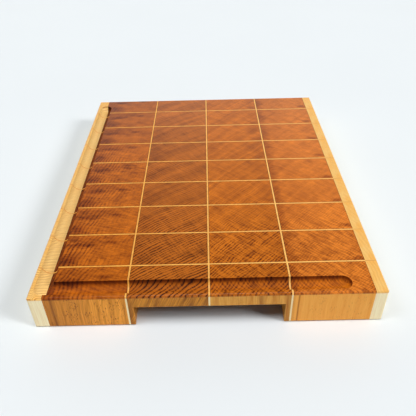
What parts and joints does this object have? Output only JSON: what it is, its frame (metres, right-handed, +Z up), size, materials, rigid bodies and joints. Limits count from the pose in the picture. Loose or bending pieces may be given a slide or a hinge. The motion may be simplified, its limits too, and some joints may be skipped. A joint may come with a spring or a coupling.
{
  "type": "cutting board with drawer trays",
  "caption": "End-grain cutting board with an L-shaped juice groove, standing on two feet, with steel drawer trays that slide out of a tunnel underneath.",
  "frame": {"origin": "on the table, below the middle of the board", "axes": "+X to the right, +Y to the back, away from the edge with the long groove leg, +Z up"},
  "size_m": [0.4, 0.5, 0.048],
  "materials": {
    "beech_dark": "oiled end grain, curly, darker",
    "beech_brown": "oiled end grain, brown",
    "beech_mid": "oiled end grain, mid brown",
    "beech_light": "oiled end grain, light orange",
    "lamella": "oiled pale maple, thin strips",
    "maple": "oiled maple end grain",
    "runner_wood": "oiled long grain",
    "steel_sheet": "brushed stainless sheet",
    "screw_steel": "bright zinc-plated"
  },
  "bodies": {
    "board": {"block_a1": "beech_dark", "block_a2": "beech_dark", "block_a3": "beech_dark", "block_a4": "beech_dark", "block_a5": "beech_dark", "block_a6": "beech_dark", "block_a7": "beech_dark", "block_a8": "beech_dark", "block_a9": "beech_dark", "block_b1": "beech_brown", "block_b2": "beech_brown", "block_b3": "beech_brown", "block_b4": "beech_brown", "block_b5": "beech_brown", "block_b6": "beech_brown", "block_b7": "beech_brown", "block_b8": "beech_brown", "block_b9": "beech_brown", "block_c1": "beech_mid", "block_c2": "beech_mid", "block_c3": "beech_mid", "block_c4": "beech_mid", "block_c5": "beech_mid", "block_c6": "beech_mid", "block_c7": "beech_mid", "block_c8": "beech_mid", "block_c9": "beech_mid", "block_d1": "beech_light", "block_d2": "beech_light", "block_d3": "beech_light", "block_d4": "beech_light", "block_d5": "beech_light", "block_d6": "beech_light", "block_d7": "beech_light", "block_d8": "beech_light", "block_d9": "beech_light", "long_lamella_left": "lamella", "long_lamella_middle": "lamella", "long_lamella_right": "lamella", "cross_lamella_1": "lamella", "cross_lamella_2": "lamella", "cross_lamella_3": "lamella", "cross_lamella_4": "lamella", "cross_lamella_5": "lamella", "cross_lamella_6": "lamella", "cross_lamella_7": "lamella", "cross_lamella_8": "lamella", "left_edge_strip": "maple", "right_edge_strip": "maple", "left_runner": "runner_wood", "right_runner": "runner_wood", "tray_stop": "runner_wood", "runner_screws": "screw_steel", "stop_screws": "screw_steel"},
    "front_tray": {"front_tray": "steel_sheet"},
    "rear_tray": {"rear_tray": "steel_sheet"}
  },
  "joints": [
    {"name": "front_tray_slide", "type": "slide", "parent": "board", "child": "front_tray", "axis": [0, -1, 0], "range_m": [0, 0.165]},
    {"name": "rear_tray_slide", "type": "slide", "parent": "board", "child": "rear_tray", "axis": [0, 1, 0], "range_m": [0, 0.165]}
  ]
}
